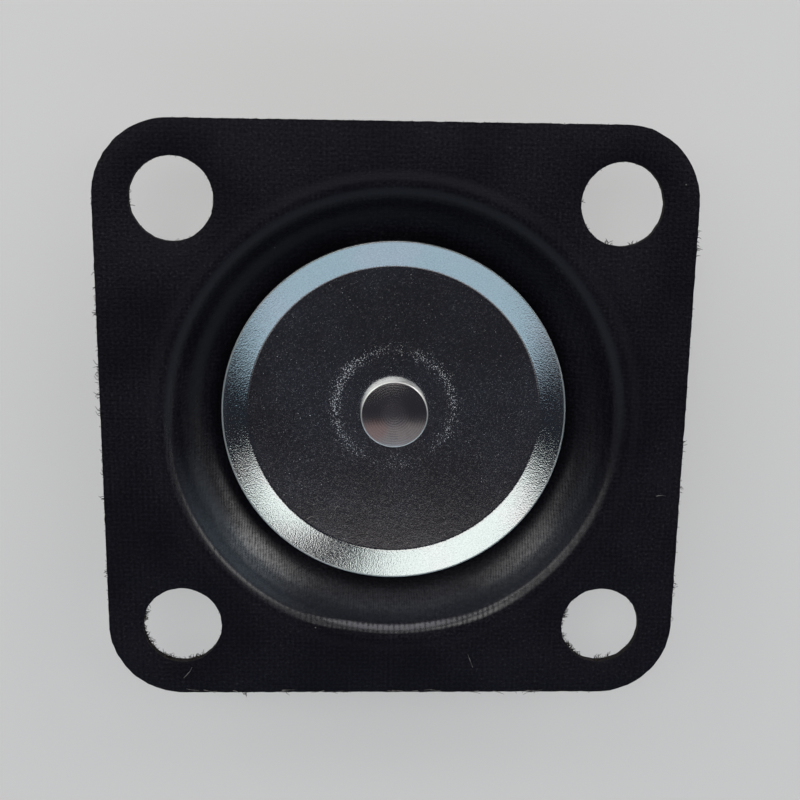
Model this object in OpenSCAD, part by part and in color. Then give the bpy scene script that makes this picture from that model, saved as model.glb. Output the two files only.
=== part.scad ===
// Pump diaphragm: a square flange of rubber-coated fabric with a moulded dish in its middle,
// clamped at the centre between two pressed plates by one rivet.
// Millimetres. The origin is the middle of the flange's front face and +Z leaves that face.
// The part lies on its back, on the rivet's button, with the dish open upwards.

/* [Flange] */
// Side of the square flange
flange_w = 42; // [36:0.5:60]
// Diameter of the screw holes
hole_d = 5.8; // [3:0.1:7]
// Rubber left between a screw hole and the flange's edge
hole_wall = 2.5; // [1:0.1:3.5]
// Least width of the flat flange, from the dish to the edge
flange_land = 4; // [3.5:0.1:6]
// Thickness of the rubber-coated fabric
sheet_t = 0.6; // [0.3:0.05:1.5]

/* [Dish] */
// Depth of the dish, from the flange's front face to the rubber under the plate
dish_depth = 4; // [2:0.1:5]
// Width of the dish's wall seen from the front, from the plate's flat to the flange
wall_w = 6.2; // [4.5:0.1:7.5]
// Inside radius of the roll between the wall and the flange, on the back surface
roll_r = 0.85; // [0.1:0.05:1.2]

/* [Plates] */
// Thickness of the pressed plates
plate_t = 0.6; // [0.4:0.05:1]
// Width of the front plate's flared rim, seen from the front
front_rim_w = 1.95; // [0.8:0.05:2.5]
// Step by which the back plate's flat is smaller than the front plate's, all round
back_step = 1.8; // [0.5:0.1:3]
// Width of the back plate's flared rim, seen from the back
back_rim_w = 1.5; // [0.8:0.05:2.5]
// Angle by which the plates' rims turn away from the rubber
rim_angle = 27; // [20:1:40]
// Inside radius of the plates' bend
bend_r = 0.4; // [0.2:0.05:0.8]

/* [Rivet] */
// Diameter of the shank
shank_d = 3.4; // [2:0.1:4.4]
// Radial gap between the shank and the holes it passes through
shank_gap = 0.05; // [0.02:0.01:0.2]
// Diameter of the front end
end_d = 5; // [4.8:0.1:8]
// Height of the front end above the plate
end_h = 1; // [0.5:0.05:2.5]
// Width of the chamfer round the front end
end_chamfer = 0.15; // [0.05:0.05:0.4]
// Diameter of the button at the back
button_d = 9; // [5:0.1:11]
// Height of the button at the back
button_h = 2; // [1:0.1:4]
// Width of the chamfer round the button's foot
button_chamfer = 0.4; // [0.1:0.05:0.8]

/* [Hidden] */
$fn = 96;
// Straight steps that round each arc of a section
bowl_steps = 18;
roll_steps = 8;
bend_steps = 6;
// The flange's corners share their centres with the screw holes.
corner_r = hole_d / 2 + hole_wall;
hole_pitch = flange_w - 2 * corner_r;
// The dish's wall is two tangent arcs, a bowl and a roll, that turn through the same angle.
mouth_r = flange_w / 2 - flange_land;
trough_r = mouth_r - wall_w;
wall_angle = 2 * atan(dish_depth / wall_w);
bowl_r = (wall_w ^ 2 + dish_depth ^ 2) / (2 * dish_depth) - roll_r - sheet_t;
// The plates' flats, their holes, and the heights of the stack that the rivet clamps
front_flat_r = trough_r;
back_flat_r = trough_r - back_step;
bore_r = shank_d / 2 + shank_gap;
front_plate_z = -dish_depth;
front_face_z = front_plate_z + plate_t;
back_plate_z = -dish_depth - sheet_t;
back_face_z = back_plate_z - plate_t;

// Points along an arc, after its start. Angles are measured from straight below the centre.
function arc(centre, r, from, to, steps) = [
    for (i = [1 : steps])
        let (a = from + (to - from) * i / steps) centre + r * [sin(a), -cos(a)]
];

// Points along one surface of the dish, from the rivet's hole to past its mouth. The bowl's arc
// curves upwards about a centre above the rubber, the roll's downwards about one below it.
function dish_surface(z, bowl_surface_r, roll_surface_r) = concat(
    [[bore_r, z - dish_depth], [trough_r, z - dish_depth]],
    arc([trough_r, bowl_r - dish_depth], bowl_surface_r, 0, wall_angle, bowl_steps),
    arc([mouth_r, -roll_r - sheet_t], roll_surface_r, 180 + wall_angle, 180, roll_steps),
    [[mouth_r + sheet_t, z]]
);

// The moulded dish. Its outermost ring lies within the flange.
module dish() {
    front = dish_surface(0, bowl_r, roll_r + sheet_t);
    back = dish_surface(-sheet_t, bowl_r + sheet_t, roll_r);
    rotate_extrude()
        polygon(concat(front, [for (i = [len(back) - 1 : -1 : 0]) back[i]]));
}

// Outline of the flange, open at the dish's mouth and at the screw holes
module flange_outline() {
    corners = [for (x = [-1, 1], y = [-1, 1]) [x, y] * hole_pitch / 2];
    difference() {
        union() {
            square([flange_w, hole_pitch], center = true);
            square([hole_pitch, flange_w], center = true);
            for (c = corners) translate(c) circle(corner_r);
        }
        circle(mouth_r);
        for (c = corners) translate(c) circle(d = hole_d);
    }
}

module diaphragm() {
    color([0.08, 0.08, 0.1]) {
        translate([0, 0, -sheet_t]) linear_extrude(sheet_t) flange_outline();
        dish();
    }
}

// Plate pressed from flat sheet, resting on z = 0, its rim flared upwards and trimmed to a cylinder
module pressed_plate(flat_r, rim_w) {
    centre = [flat_r, plate_t + bend_r];
    trim_r = flat_r + rim_w;
    back = arc(centre, bend_r + plate_t, 0, rim_angle, bend_steps);
    front = arc(centre, bend_r, rim_angle, 0, bend_steps);
    slope = [cos(rim_angle), sin(rim_angle)];
    front_bend_end = centre + bend_r * [slope.y, -slope.x];
    back_bend_end = front_bend_end + plate_t * [slope.y, -slope.x];
    rotate_extrude()
        polygon(concat(
            [[bore_r, plate_t], [bore_r, 0], [flat_r, 0]],
            back,
            [back_bend_end + slope * (trim_r - back_bend_end.x) / slope.x],
            [front_bend_end + slope * (trim_r - front_bend_end.x) / slope.x],
            [front_bend_end],
            front
        ));
}

module front_plate() {
    color([0.78, 0.8, 0.82])
        translate([0, 0, front_plate_z]) pressed_plate(front_flat_r, front_rim_w);
}

module back_plate() {
    color([0.78, 0.8, 0.82])
        translate([0, 0, back_plate_z])
            mirror([0, 0, 1]) pressed_plate(back_flat_r, back_rim_w);
}

// Half section of the rivet: front end, shank and button
module rivet_section() {
    shank_r = shank_d / 2;
    end_r = end_d / 2;
    button_r = button_d / 2;
    top_z = front_face_z + end_h;
    foot_z = back_face_z - button_h;
    polygon([
        [0, top_z],
        [end_r - end_chamfer, top_z],
        [end_r, top_z - end_chamfer],
        [end_r, front_face_z],
        [shank_r, front_face_z],
        [shank_r, back_face_z],
        [button_r, back_face_z],
        [button_r, foot_z + button_chamfer],
        [button_r - button_chamfer, foot_z],
        [0, foot_z]
    ]);
}

module rivet() {
    color([0.72, 0.73, 0.74]) rotate_extrude() rivet_section();
}

diaphragm();
front_plate();
back_plate();
rivet();
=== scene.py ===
# Pump diaphragm: a moulded sheet of rubber-coated fabric, clamped at its centre between two pressed
# plates by one rivet. It lies on its back on a pale table, with the dish open to the camera.
import math
import random

import bmesh
import bpy
from mathutils import Matrix, Vector, noise


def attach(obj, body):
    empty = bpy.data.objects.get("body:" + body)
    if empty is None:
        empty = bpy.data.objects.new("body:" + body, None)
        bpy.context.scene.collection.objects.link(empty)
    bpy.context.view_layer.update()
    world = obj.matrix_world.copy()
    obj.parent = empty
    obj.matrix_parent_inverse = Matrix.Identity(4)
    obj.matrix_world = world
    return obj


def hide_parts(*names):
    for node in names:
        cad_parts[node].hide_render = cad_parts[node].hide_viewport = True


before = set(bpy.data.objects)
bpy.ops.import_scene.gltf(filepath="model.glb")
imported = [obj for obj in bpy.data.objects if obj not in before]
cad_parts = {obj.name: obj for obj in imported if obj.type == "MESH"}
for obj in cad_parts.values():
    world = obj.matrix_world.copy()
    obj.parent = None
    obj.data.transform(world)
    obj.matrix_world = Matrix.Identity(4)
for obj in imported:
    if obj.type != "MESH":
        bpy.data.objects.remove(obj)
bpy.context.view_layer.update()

# The moulded sheet: woven fabric coated with black rubber, pressed to a dish in a heated mould.
# Its flange is then die-cut to a square with round corners and four screw holes.
# Sizes of this and the other pieces are millimetres.
mm = 0.001
sheet_t = 0.6
flange_w = 42.0
flange_land = 4.0
hole_r = 2.9
hole_wall = 2.5
dish_depth = 4.0
wall_w = 6.2
roll_r = 1.45
lip_w = 0.5
bore_r = 1.75
warp_pitch = 0.39
weft_pitch = 0.33
cut_unevenness = 0.05
cut_waves = 1.9
cut_round = 0.06
corner_r = hole_r + hole_wall
hole_pitch = flange_w - 2 * corner_r
mouth_r = flange_w / 2 - flange_land
trough_r = mouth_r - wall_w
bowl_r = (wall_w**2 + dish_depth**2) / (2 * dish_depth) - roll_r
wall_turn = 2 * math.atan(dish_depth / wall_w)

sheet = bmesh.new()


def lead_on(bm, vert, place):
    """Draws a section on from its end, straight to a new place."""
    tip = bmesh.ops.extrude_vert_indiv(bm, verts=[vert])["verts"][0]
    bmesh.ops.translate(bm, vec=Vector(place) - tip.co, verts=[tip])
    return tip


def curve_on(bm, vert, centre, way, steps):
    """Draws a section on from its end, along an arc of the wall that turns the way +1 or -1."""
    swept = bmesh.ops.spin(
        bm, geom=[vert], cent=centre, axis=(0, way, 0), angle=wall_turn, steps=steps
    )
    return next(g for g in swept["geom_last"] if isinstance(g, bmesh.types.BMVert))


def spin_round(bm, steps):
    """Spins a section once round the middle."""
    bmesh.ops.spin(
        bm,
        geom=bm.verts[:] + bm.edges[:],
        cent=(0, 0, 0),
        axis=(0, 0, 1),
        angle=2 * math.pi,
        steps=steps,
        use_merge=True,
    )


def round_off(bm, corners, size, segments, affect="VERTICES"):
    """Rounds the corners of an outline or a section, or the edges of a solid."""
    bmesh.ops.bevel(
        bm,
        geom=corners,
        offset=size,
        offset_type="OFFSET",
        affect=affect,
        segments=segments,
        profile=0.5,
        material=-1,
    )


tip = lead_on(sheet, sheet.verts.new((bore_r, 0, -dish_depth)), (trough_r, 0, -dish_depth))
tip = curve_on(sheet, tip, (trough_r, 0, bowl_r - dish_depth), way=-1, steps=28)
tip = curve_on(sheet, tip, (mouth_r, 0, -roll_r), way=1, steps=16)
lead_on(sheet, tip, (mouth_r + lip_w, 0, 0))
spin_round(sheet, steps=192)
mouth = [e for e in sheet.edges if e.is_boundary and e.verts[0].co.xy.length > mouth_r]

outline = bmesh.ops.create_circle(
    sheet,
    cap_ends=True,
    segments=4,
    radius=flange_w / math.sqrt(2),
    matrix=Matrix.Rotation(math.pi / 4, 4, "Z"),
)["verts"]
round_off(sheet, outline, corner_r, segments=24)
blank = max(sheet.faces, key=lambda f: f.calc_area())
sides = [e for e in blank.edges if e.calc_length() > hole_pitch / 2]
bmesh.ops.delete(sheet, geom=[blank], context="FACES_ONLY")
bmesh.ops.subdivide_edges(sheet, edges=sides, cuts=79)
cut = [e for e in sheet.edges if not e.link_faces]
for x in (-0.5, 0.5):
    for y in (-0.5, 0.5):
        at = Matrix.Translation((x * hole_pitch, y * hole_pitch, 0))
        hole = bmesh.ops.create_circle(sheet, segments=72, radius=hole_r, matrix=at)
        cut += dict.fromkeys(e for v in hole["verts"] for e in v.link_edges)
# Unless it is seeded, this noise changes from run to run.
noise.seed_set(11)
for vert in dict.fromkeys(v for e in cut for v in e.verts):
    vert.co.xy += noise.noise_vector(vert.co * cut_waves).xy * cut_unevenness
bmesh.ops.triangle_fill(sheet, use_beauty=True, use_dissolve=False, edges=mouth + cut)
bmesh.ops.recalc_face_normals(sheet, faces=sheet.faces)
if sum(f.normal.z * f.calc_area() for f in sheet.faces) < 0:
    bmesh.ops.reverse_faces(sheet, faces=sheet.faces)
bmesh.ops.solidify(sheet, geom=sheet.faces[:], thickness=sheet_t)
# The die leaves upright faces outside the dish, with square corners to the front and the back.
cut_faces = [
    f for f in sheet.faces if abs(f.normal.z) < 0.3 and f.calc_center_median().xy.length > mouth_r
]
for face in cut_faces:
    face.material_index = 1
square_corners = dict.fromkeys(e for f in cut_faces for e in f.edges if e.calc_face_angle(0) > 1)
round_off(sheet, list(square_corners), cut_round, segments=2, affect="EDGES")


class Shade:
    """A value, colour or vector in a finish. Python maths on it adds the nodes."""

    def __init__(self, tree, socket=None):
        self.tree = tree
        self.socket = socket

    def add(self, kind, settings=(), sockets=(), out=0):
        node = self.tree.nodes.new("ShaderNode" + kind)
        for name, value in dict(settings).items():
            setattr(node, name, value)
        for name, value in dict(sockets).items():
            if isinstance(value, Shade):
                self.tree.links.new(value.socket, node.inputs[name])
            else:
                node.inputs[name].default_value = value
        return Shade(self.tree, node.outputs[out])

    def out(self, name):
        return Shade(self.tree, self.socket.node.outputs[name])

    def into(self, shader, name):
        self.tree.links.new(self.socket, shader.inputs[name])

    def maths(self, operation, *others, first=None):
        values = (self, *others) if first is None else (first, self)
        return self.add("Math", {"operation": operation}, dict(enumerate(values)))

    def __add__(self, other):
        return self.maths("ADD", other)

    def __sub__(self, other):
        return self.maths("SUBTRACT", other)

    def __rsub__(self, other):
        return self.maths("SUBTRACT", first=other)

    def __mul__(self, other):
        return self.maths("MULTIPLY", other)

    def __truediv__(self, other):
        return self.maths("DIVIDE", other)

    def __pow__(self, other):
        return self.maths("POWER", other)

    def __gt__(self, other):
        return self.maths("GREATER_THAN", other)

    def __lt__(self, other):
        return self.maths("LESS_THAN", other)

    def __abs__(self):
        return self.maths("ABSOLUTE")

    __radd__ = __add__
    __rmul__ = __mul__

    def clamped(self):
        return self.add("Clamp", (), {0: self})

    def between(self, low, high):
        """0 below low, 1 above high, and a soft step from one to the other."""
        ranges = {"Value": self, "From Min": low, "From Max": high}
        return self.add("MapRange", {"interpolation_type": "SMOOTHSTEP"}, ranges)

    def within(self, low, full_low, full_high, high):
        """1 from full_low to full_high, with soft steps to 0 at low and at high."""
        return self.between(low, full_low) * (1 - self.between(full_high, high))

    def blend(self, low, high):
        """The colour low where this is 0, and high where it is 1."""
        low, high = (c if isinstance(c, Shade) else (*c, 1) for c in (low, high))
        return self.add("Mix", {"data_type": "RGBA"}, {0: self, 6: low, 7: high}, out=2)


def new_finish(name, **sockets):
    """A material with one shader, its even values set, and the place on the piece to start from."""
    material = bpy.data.materials.new(name)
    material.use_nodes = True
    shader = material.node_tree.nodes["Principled BSDF"]
    for socket, value in sockets.items():
        shader.inputs[socket.replace("_", " ").title().replace("Ior", "IOR")].default_value = value
    return material, shader, Shade(material.node_tree).add("TexCoord", out="Object")


def measure(place):
    """A place's x, y and z and its radius from the middle, in millimetres."""
    metres = place.add("SeparateXYZ", (), {0: place})
    x, y, z = (metres.out(axis) / mm for axis in "XYZ")
    return x, y, z, (x * x + y * y) ** 0.5


def mottle(place, scale, detail=2.0):
    """Uneven spots, so many to the metre. A number for each axis draws them out to streaks."""
    if isinstance(scale, tuple):
        place = place.add("Mapping", (), {"Vector": place, "Scale": scale})
        scale = 1.0
    return place.add("TexNoise", (), {"Vector": place, "Scale": scale, "Detail": detail})


def emboss(height, shader, depth, strength=1.0):
    """Gives a finish its relief. A height of 1 is the depth in millimetres."""
    sockets = {"Strength": strength, "Distance": depth * mm, "Height": height}
    height.add("Bump", (), sockets).into(shader, "Normal")


jet = (0.0024, 0.002, 0.0044)
charcoal = (0.0084, 0.0077, 0.0117)
lint_grey = (0.036, 0.035, 0.039)
# The four colours below are painted light on the rubber: a pale clamp ring with a painted
# highlight, highlights on the roll and the wall, and a bluish reflection on the near wall.
clamp_ring_and_highlight_grey = (0.0145, 0.0138, 0.0185)
painted_roll_highlight_grey = (0.0145, 0.0155, 0.0195)
painted_wall_highlight_grey = (0.0135, 0.0145, 0.017)
painted_reflection_blue = (0.035, 0.045, 0.056)
dust_white = (0.14, 0.135, 0.13)

coated_fabric, shader, place = new_finish(
    "coated_fabric", specular_ior_level=0.08, coat_roughness=0.25, coat_ior=1.8
)
x, y, _, radius = measure(place)
wander = place.add("SeparateColor", (), {0: mottle(place, 500.0).out("Color")})
grain = mottle(place, 5200.0, detail=3.0)
patches = mottle(place, 140.0, detail=4.0)
ends = mottle(place, (7500.0, 2200.0, 2200.0))
picks = mottle(place, (2200.0, 7500.0, 2200.0))
strands = ends.between(0.3, 0.7) * 0.5 + picks.between(0.3, 0.7) * 0.5
warp_turn = x * (2 * math.pi / warp_pitch) + wander * 5
warp = warp_turn.maths("SINE")
plies = (warp_turn * 2 + grain * 2.5).maths("SINE")
weft = (y * (2 * math.pi / weft_pitch) + wander.out(1) * 5).maths("SINE")
threads = (warp + weft) * 0.25 + 0.5
dust_cells = place.add("TexVoronoi", (), {"Vector": place, "Scale": 700.0})
dust_pick = place.add("SeparateColor", (), {0: dust_cells.out("Color")})
dust = (dust_cells < 0.04) * (dust_pick > 0.9)

# Marks that differ round the dish, most of them painted light: a pale ring where the flange was
# clamped, painted brighter on the far half as a highlight; painted highlights on the roll and wall
# of the far half; and a painted bluish reflection and a glossier coat on the near half, most on the
# left.
near = 1 - y.between(-6, 5)
far = 1 - near
side = abs(x).between(6, 11)
left = 1 - x.between(-13, 8)
past_mouth = radius - mouth_r
crease = past_mouth - near * abs(x).between(2, 8) * (0.2 + left * 0.29)
tone = (patches * 0.35 + threads * 0.1 + grain * 0.55).between(0.39, 0.61).blend(jet, charcoal)
lint = grain.between(0.58, 0.72) * patches.between(0.42, 0.6)
tone = (lint * 0.45).blend(tone, lint_grey)
# A pale ring where the flange was clamped, painted brightest on the far half as a highlight.
clamp_ring_and_highlight = past_mouth.within(-0.1, 0.3, 0.4, 1.0)
clamp_ring_and_highlight = clamp_ring_and_highlight * (0.15 + far * 0.12 + far * (1 - side) * 0.45)
tone = clamp_ring_and_highlight.blend(tone, clamp_ring_and_highlight_grey)
# A painted highlight on the roll of the far half.
painted_roll_highlight = past_mouth.within(-1.25, -0.75, -0.65, -0.25) * far
tone = (painted_roll_highlight * 0.95).blend(tone, painted_roll_highlight_grey)
# A painted highlight on the wall of the far half, stronger on the left.
painted_wall_highlight = past_mouth.within(-3.0, -2.4, -2.2, -1.6) * far
tone = (painted_wall_highlight * (0.2 + left * 0.7)).blend(tone, painted_wall_highlight_grey)
# A painted bluish reflection on the near wall of the dish, mostly at the sides and on the left.
painted_blue_reflection = past_mouth.between(-2.8, -1.9) * (1 - crease.between(-1.5, -1.0))
painted_blue_reflection = painted_blue_reflection * (1 - y.between(-10, -1))
painted_blue_reflection = painted_blue_reflection * (0.18 + side * (0.1 + left * 0.5)) * (0.75 + strands * 0.5)
tone = painted_blue_reflection.clamped().blend(tone, painted_reflection_blue)
dust.blend(tone, dust_white).into(shader, "Base Color")
(0.42 + patches * 0.12).into(shader, "Roughness")
wall = past_mouth.within(-3.6, -2.8, -1.8, -1.3)
wall = wall * near * (0.11 + side * (0.12 + left * 0.24))
wall = wall * (0.45 + strands * 1.0 + plies * 0.35)
roll = crease.within(-1.3, -1.05, -0.88, -0.62)
roll = roll * (0.04 + near * (0.3 + (1 - side) * 0.6 + left * (0.35 + side * 0.6)))
stitches = warp * ((1 - side) * 0.35 + side * left * 0.15) + plies * side * left * 0.25
roll = roll * (0.5 + strands * 0.9 + stitches)
(wall + roll).clamped().into(shader, "Coat Weight")
emboss(warp * weft * 0.22 + strands * 1.2 + grain * 0.8, shader, depth=0.03, strength=0.6)

cut_dark = (0.005, 0.0045, 0.005)
cut_brown = (0.016, 0.013, 0.012)
cut_edge, shader, place = new_finish("cut_edge", roughness=0.85, specular_ior_level=0.2)
fuzz = mottle(place, 3600.0, detail=4.0)
fuzz.between(0.35, 0.7).blend(cut_dark, cut_brown).into(shader, "Base Color")
emboss(fuzz, shader, depth=0.05, strength=0.8)


def put_in_scene(name, data):
    thing = bpy.data.objects.new(name, data)
    bpy.context.scene.collection.objects.link(thing)
    return thing


def make_object(bm, name, materials):
    """Makes an object in metres of a shape that was drawn in millimetres."""
    bmesh.ops.scale(bm, vec=(mm, mm, mm), verts=bm.verts)
    mesh = bpy.data.meshes.new(name)
    bm.to_mesh(mesh)
    bm.free()
    mesh.shade_smooth()
    mesh.set_sharp_from_angle(angle=math.radians(35))
    for material in materials:
        mesh.materials.append(material)
    return put_in_scene(name, mesh)


def finish_piece(bm, name, materials, node):
    """Makes a piece of the part, and puts it in place of its plain solid."""
    piece = make_object(bm, name, materials)
    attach(piece, "root")
    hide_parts(node)


finish_piece(sheet, "diaphragm_sheet", [coated_fabric, cut_edge], "diaphragm")

# Frayed threads: the ends of the fabric's yarns, which the die leaves sticking out of the cut
# edges. Most are short stubs in tufts. A few pale fibres lie loose on the rubber and the plate.
yarn_r = 0.024
edge_yarns = 80
hole_yarns = 40
on_flange = 0.02
on_plate = -3.37
half_pitch = hole_pitch / 2

yarn = bpy.data.curves.new("frayed_threads", "CURVE")
yarn.dimensions = "3D"
yarn.bevel_depth = yarn_r * mm
yarn.bevel_resolution = 1
yarn.resolution_u = 3
yarn.use_fill_caps = True

brown, pale = 0, 1
for name, shadow, light, spots, roughness, gloss in (
    ("yarn", (0.007, 0.006, 0.006), (0.034, 0.028, 0.025), 2500.0, 0.8, 0.2),
    ("pale_fibre", (0.05, 0.046, 0.046), (0.2, 0.185, 0.18), 1800.0, 0.7, 0.3),
):
    fibre, shader, place = new_finish(name, roughness=roughness, specular_ior_level=gloss)
    mottle(place, spots).between(0.4, 0.65).blend(shadow, light).into(shader, "Base Color")
    yarn.materials.append(fibre)

chance = random.Random(11)


def fray(root, outwards, length, droop=0.5, bend=1.0, finish=brown):
    """One yarn end that leaves the edge at root and bends to one side."""
    sideways = Vector((-outwards.y, outwards.x, 0)) * chance.uniform(-bend, bend)
    curl = (sideways + Vector((0, 0, chance.uniform(-droop, 0.4)))) * length
    spline = yarn.splines.new("NURBS")
    spline.material_index = finish
    spline.points.add(3)
    for point, share in zip(spline.points, (-0.3, 0.35, 0.7, 1.0)):
        at = root + outwards * length * share + curl * max(share, 0) ** 2
        point.co = (*(at * mm), 1)
        point.radius = 1.15 - 0.65 * max(share, 0)
    spline.order_u = 3
    spline.use_endpoint_u = True


def tuft(place_at, middle, spread, yarns, longest):
    """A few yarn ends close together. place_at gives the edge's point and outward way."""
    for _ in range(yarns):
        root, outwards = place_at(chance.gauss(middle, spread))
        root = root + Vector((0, 0, chance.uniform(-0.5, -0.1)))
        fray(root, outwards, longest * chance.uniform(0.3, 1) ** 1.5)


def on_side(quarter):
    """Places along one straight side of the flange, by their distance from its middle."""
    turn = Matrix.Rotation(quarter * math.pi / 2, 3, "Z")

    def at(step):
        step = max(-half_pitch, min(half_pitch, step))
        return turn @ Vector((flange_w / 2, step, 0)), turn @ Vector((1, 0, 0))

    return at


def on_hole(x, y):
    """Places round one screw hole, by their angle."""

    def at(angle):
        outwards = Vector((math.cos(angle), math.sin(angle), 0))
        return Vector((x, y, 0)) + outwards * hole_r, -outwards

    return at


for quarter, tufts, stub in ((0, 12, 0.14), (1, 0, 0.06), (2, 15, 0.14), (3, 8, 0.12)):
    side_at = on_side(quarter)
    for _ in range(tufts):
        middle = chance.uniform(-half_pitch, half_pitch)
        yarns = chance.randint(3, 9)
        tuft(side_at, middle, spread=0.3, yarns=yarns, longest=chance.uniform(0.15, 0.5))
    for step in range(edge_yarns):
        middle = (step - edge_yarns / 2) * warp_pitch
        tuft(side_at, middle, spread=0.1, yarns=1, longest=stub)
for x, y, fuzz_from, fuzz_to, tufts in (
    (-half_pitch, -half_pitch, 2.7, 5.2, 40),
    (half_pitch, -half_pitch, 2.7, 5.0, 26),
    (-half_pitch, half_pitch, 3.0, 5.0, 3),
    (half_pitch, half_pitch, 3.0, 5.0, 4),
):
    hole_at = on_hole(x, y)
    for _ in range(tufts):
        middle = chance.uniform(fuzz_from, fuzz_to)
        yarns = chance.randint(4, 9)
        tuft(hole_at, middle, spread=0.06, yarns=yarns, longest=chance.uniform(0.16, 0.46))
    for spoke in range(hole_yarns):
        middle = spoke * 2 * math.pi / hole_yarns
        tuft(hole_at, middle, spread=0.03, yarns=1, longest=0.12)

# Pale fibres along the front edge, then single ones on the flange and the plate
for _ in range(22):
    x = chance.uniform(-half_pitch, half_pitch)
    root = Vector((x, chance.uniform(0.02, 0.2) - flange_w / 2, on_flange / 2))
    along = Vector((chance.choice((-1, 1)), chance.uniform(-0.2, 0.15), 0)).normalized()
    fray(root, along, chance.uniform(0.25, 0.8), droop=0, bend=0.25, finish=pale)
for x, y, z, bearing, length in (
    (6.0, -18.7, on_flange, 1.9, 0.9),
    (19.4, -5.4, on_flange, 0.3, 0.5),
    (-15.4, -19.6, on_flange, 0.8, 0.9),
    (-2.5, -9.8, on_plate, 0.0, 0.75),
    (-4.4, -7.65, on_plate, 1.57, 0.3),
    (-6.4, -8.3, on_plate, 0.85, 0.45),
):
    along = Vector((math.cos(bearing), math.sin(bearing), 0))
    fray(Vector((x, y, z)), along, length, droop=0, finish=pale)

frayed = put_in_scene("frayed_threads", yarn)
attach(frayed, "root")

# The two plates: blanked and pressed from 0.6 mm steel sheet, their rims flared away from the
# rubber so that no edge cuts it, then zinc plated. The front one is the larger, and the return
# spring has left a ring of scuffs on it.
plate_t = 0.6
front_rim_w = 1.95
back_rim_w = 1.5
back_step = 1.8
rim_turn = math.radians(27)
bend_r = 0.4
inner_trim_round = 0.1
outer_trim_round = 0.12
spring_r = 4.4
spring_w = 0.8
spring_off = 0.3


def turn_solid(bm, steps):
    """Makes a closed round piece of a flat section, which was drawn as one face."""
    bmesh.ops.delete(bm, geom=bm.faces[:], context="FACES_ONLY")
    spin_round(bm, steps)
    bmesh.ops.remove_doubles(bm, verts=bm.verts, dist=0.0005)
    bmesh.ops.recalc_face_normals(bm, faces=bm.faces)


def press_plate(flat_r, rim_w, seat_z, side):
    """A plate that lies on the rubber at seat_z, on the side +1 or -1 of it."""
    plate = bmesh.new()
    trim_r = flat_r + rim_w
    rise = math.tan(rim_turn)
    inner_bend = (bend_r + plate_t) * math.tan(rim_turn / 2)
    outer_bend = bend_r * math.tan(rim_turn / 2)
    places = [
        (bore_r, plate_t),
        (bore_r, 0),
        (flat_r + inner_bend, 0),
        (trim_r, (rim_w - inner_bend) * rise),
        (trim_r, plate_t + (rim_w - outer_bend) * rise),
        (flat_r + outer_bend, plate_t),
    ]
    section = [plate.verts.new((r, 0, seat_z + side * z)) for r, z in places]
    plate.faces.new(section)
    _, _, inner_corner, inner_trim, outer_trim, outer_corner = section
    round_off(plate, [inner_corner], inner_bend, segments=8)
    round_off(plate, [outer_corner], outer_bend, segments=6)
    round_off(plate, [inner_trim], inner_trim_round, segments=3)
    round_off(plate, [outer_trim], outer_trim_round, segments=4)
    turn_solid(plate, steps=256)
    return plate


rim_green = (0.53, 0.595, 0.59)
rim_silver = (0.585, 0.6, 0.605)
flat_grey = (0.5, 0.49, 0.485)
flat_blue = (0.56, 0.575, 0.6)

zinc, shader, place = new_finish("zinc_plating", metallic=1.0)
x, y, z, radius = measure(place)
peel = mottle(place, 2300.0, detail=1.0)
grit = mottle(place, 9500.0)
clouds = mottle(place, 160.0, detail=3.0)
specks = mottle(place, 14000.0, detail=1.0)
brushed = mottle(place, (3000.0, 9500.0, 3000.0))
on_back_plate = z < -dish_depth - sheet_t / 2
past_flat = radius - (trough_r - 0.05 - on_back_plate * back_step)
rim = past_flat.between(0, 0.35)
flat = 1 - rim
rim_edge = past_flat.between(front_rim_w - 0.12, front_rim_w - 0.04)
spring_y = y - spring_off
off_spring = abs((x * x + spring_y * spring_y) ** 0.5 - spring_r)
spring_ring = 1 - (off_spring / spring_w).clamped()
rubbed = 0.04 + clouds.between(0.35, 0.6) * 0.1 + spring_y.between(-4, 3) * 0.07
scuffs = (specks + spring_ring * rubbed).between(0.73, 0.93) * flat
cloudy = clouds.between(0.35, 0.65)
tint = rim.blend(cloudy.blend(flat_grey, flat_blue), cloudy.blend(rim_green, rim_silver))
shade = 1 + (grit - 0.5) * (flat * 1.1 + rim * 0.45) + (brushed - 0.5) * flat * 0.4
tint = tint.add("VectorMath", {"operation": "SCALE"}, {0: tint, "Scale": shade})
tint.into(shader, "Base Color")
frosting = grit.between(0.52, 0.75) * flat * 0.125
dullness = 0.1 - rim * 0.03 + clouds * 0.05 + frosting + scuffs * 0.28 + rim_edge * 0.3
dullness.into(shader, "Roughness")
relief = (peel * 0.13 + brushed * 0.07 + scuffs * 0.4) * flat + grit * (0.12 + rim * 0.6)
emboss(relief, shader, depth=0.02)

back_plate = press_plate(trough_r - back_step, back_rim_w, -dish_depth - sheet_t, side=-1)
finish_piece(back_plate, "back_plate_pressing", [zinc], "back_plate")
front_plate = press_plate(trough_r, front_rim_w, -dish_depth, side=1)
finish_piece(front_plate, "front_plate_pressing", [zinc], "front_plate")

# The rivet: turned from steel bar with a flat button at the back, passed through the stack from
# behind and headed over the front plate. Its front end keeps the marks of the tool.
shank_r = 1.7
end_r = 2.5
end_h = 1.0
end_round = 0.08
button_r = 4.5
button_h = 2.0
shoulder_round = 0.1
foot_round = 0.4
front_face = plate_t - dish_depth
back_face = -dish_depth - sheet_t - plate_t
end_top = front_face + end_h
foot = back_face - button_h

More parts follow.
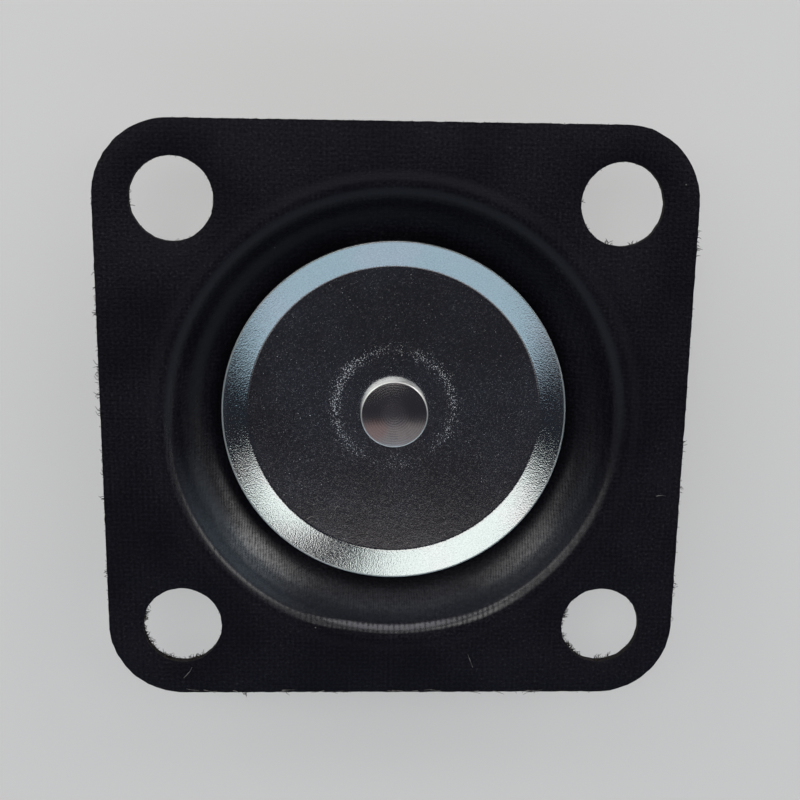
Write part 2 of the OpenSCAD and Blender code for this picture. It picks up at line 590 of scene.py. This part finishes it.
stack_rivet = bmesh.new()
places = [
    (0, end_top),
    (end_r, end_top),
    (end_r, front_face),
    (shank_r, front_face),
    (shank_r, back_face),
    (button_r, back_face),
    (button_r, foot),
    (0, foot),
]
section = [stack_rivet.verts.new((r, 0, z)) for r, z in places]
stack_rivet.faces.new(section)
_, end_rim, _, _, _, shoulder, foot_rim, _ = section
round_off(stack_rivet, [end_rim], end_round, segments=4)
round_off(stack_rivet, [shoulder], shoulder_round, segments=3)
round_off(stack_rivet, [foot_rim], foot_round, segments=5)
axis_edge = [e for e in stack_rivet.edges if all(v.co.x < 0.001 for v in e.verts)]
bmesh.ops.delete(stack_rivet, geom=axis_edge, context="EDGES")
turn_solid(stack_rivet, steps=160)

clean_steel = (0.55, 0.52, 0.515)
dark_steel = (0.37, 0.34, 0.37)
rust_red = (0.6, 0.42, 0.41)
button_steel = (0.62, 0.605, 0.59)
bright_edge = (0.9, 0.905, 0.875)
groove_pitch = 0.19
groove_depth = 0.01
cone_slope = 0.045
cone_tip_r = 0.8
rust_x, rust_y = -1.4, -1.1

turned, shader, place = new_finish("turned_steel", metallic=1.0)
x, y, z, radius = measure(place)
chatter = mottle(place, 1500.0, detail=3.0)
grooves = (radius * (2 * math.pi / groove_pitch) + chatter * 4).maths("SINE")
front_end = z > back_face
pip = (1 - radius.between(0.6, 1.3)) * front_end
edge = radius.between(end_r - 0.12, end_r - 0.06) * front_end
stain = (chatter * 0.7 + pip * 0.25 + grooves * 0.14).between(0.25, 0.85)
rust = 1 - ((x - rust_x) ** 2 + (y - rust_y) ** 2).between(0.1, 1.3)
steel = (rust * 0.7).blend(stain.blend(clean_steel, dark_steel), rust_red)
steel = front_end.blend(button_steel, steel)
edge.blend(steel, bright_edge).into(shader, "Base Color")
(0.13 + chatter * 0.06 + pip * 0.06 + edge * 0.26).into(shader, "Roughness")
cone = (radius * radius + cone_tip_r**2) ** 0.5 * front_end * (cone_slope / groove_depth)
emboss(grooves * 0.05 + chatter * 0.06 - cone, shader, groove_depth)
finish_piece(stack_rivet, "stack_rivet", [turned], "rivet")

# The table: a plain pale board, painted, on which the rivet's button stands. To the eye and in the
# metal it has one even tone, and it takes the part's soft shadow.
table_w = 3000.0
table_paint = (0.3, 0.299, 0.297, 1)
pale_grey = (0.36, 0.359, 0.357)

board = bmesh.new()
bmesh.ops.create_grid(board, x_segments=2, y_segments=2, size=table_w / 2)
bmesh.ops.translate(board, vec=(0, 0, foot), verts=board.verts)
pale_table, shader, paint = new_finish(
    "pale_table",
    base_color=table_paint,
    roughness=0.9,
    specular_ior_level=0.1,
    emission_strength=1.0,
)
seen = paint.add("LightPath", out="Is Camera Ray")
seen = (seen + seen.out("Is Glossy Ray") + seen.out("Is Transmission Ray")).clamped()
seen.blend((0, 0, 0), pale_grey).into(shader, "Emission Color")
make_object(board, "table", [pale_table])

# The light: soft panels high behind the part, with a gap right of the middle, lower ones behind and
# to both sides, and a weak strip and a cool panel in front. The room is dark overhead and pales
# towards the table. Distances here and for the camera are metres.
warm_white = (1.0, 0.985, 0.96)
cold_white = (0.97, 0.97, 1.04)
rosy_white = (1.0, 0.94, 0.92)
cool_blue = (0.8, 1.0, 1.18)
dark_room = (0.0235, 0.0245, 0.033)


def hang_panel(name, bearing, from_above, reach, aside, width, length, colour, level):
    """A soft panel that faces the part from a distance, its reach, and may be moved aside.
    Bearing turns it from the back towards the right, from_above from overhead to the horizon.
    Level is how bright its face is."""
    lamp = bpy.data.lights.new(name, "AREA")
    lamp.shape = "RECTANGLE"
    lamp.size = width
    lamp.size_y = length
    lamp.color = colour
    lamp.energy = level * math.pi * width * length
    turn = Matrix.Rotation(-math.radians(bearing), 4, "Z")
    tilt = Matrix.Rotation(-math.radians(from_above), 4, "X")
    panel = put_in_scene(name, lamp)
    panel.matrix_world = turn @ tilt @ Matrix.Translation((aside, 0, reach))


# Each row: name, bearing, from_above, reach, aside, width, length, colour and level
for row in (
    ("back_panel", 0, 23.5, 0.42, -0.0125, 0.145, 0.22, warm_white, 1.5),
    ("back_left_panel", 0, 21.25, 0.42, -0.44, 0.71, 0.253, warm_white, 1.5),
    ("back_right_panel", 0, 21.25, 0.42, 0.4875, 0.605, 0.253, warm_white, 1.5),
    ("low_back_panel", 0, 70, 0.5, 0, 0.4, 0.36, cold_white, 1.3),
    ("low_left_panel", -48, 70, 0.5, 0, 0.28, 0.25, warm_white, 4.0),
    ("low_right_panel", 48, 70, 0.5, 0, 0.28, 0.25, warm_white, 4.0),
    ("front_strip", 0, -25.5, 0.45, 0, 0.4, 0.106, rosy_white, 0.26),
    ("front_panel", 0, -52.5, 0.45, 0, 1.2, 0.33, cool_blue, 0.66),
):
    hang_panel(*row)

world = bpy.data.worlds.new("dim_room")
world.use_nodes = True
room = Shade(world.node_tree)
height = room.add("SeparateXYZ", (), {0: room.add("TexCoord", out="Generated")}, out="Z")
walls = height.between(0.12, 0.38).blend(pale_grey, dark_room)
walls.into(world.node_tree.nodes["Background"], "Color")
bpy.context.scene.world = world

# The camera: looks down on the part from a little behind its middle, as the photograph was taken.
# Its place, turn and lens were fitted to the flange's edges and the screw holes.
lens = bpy.data.cameras.new("camera")
lens.sensor_width = 36
lens.lens = 49.99
lens.clip_start = 0.001
camera = put_in_scene("camera", lens)
camera.location = (-0.002535, 0.01814, 0.077651)
camera.rotation_mode = "ZYX"
camera.rotation_euler = (math.radians(-12.005), math.radians(-2.053), math.radians(0.418))
bpy.context.scene.camera = camera
bpy.context.scene.view_settings.view_transform = "Standard"
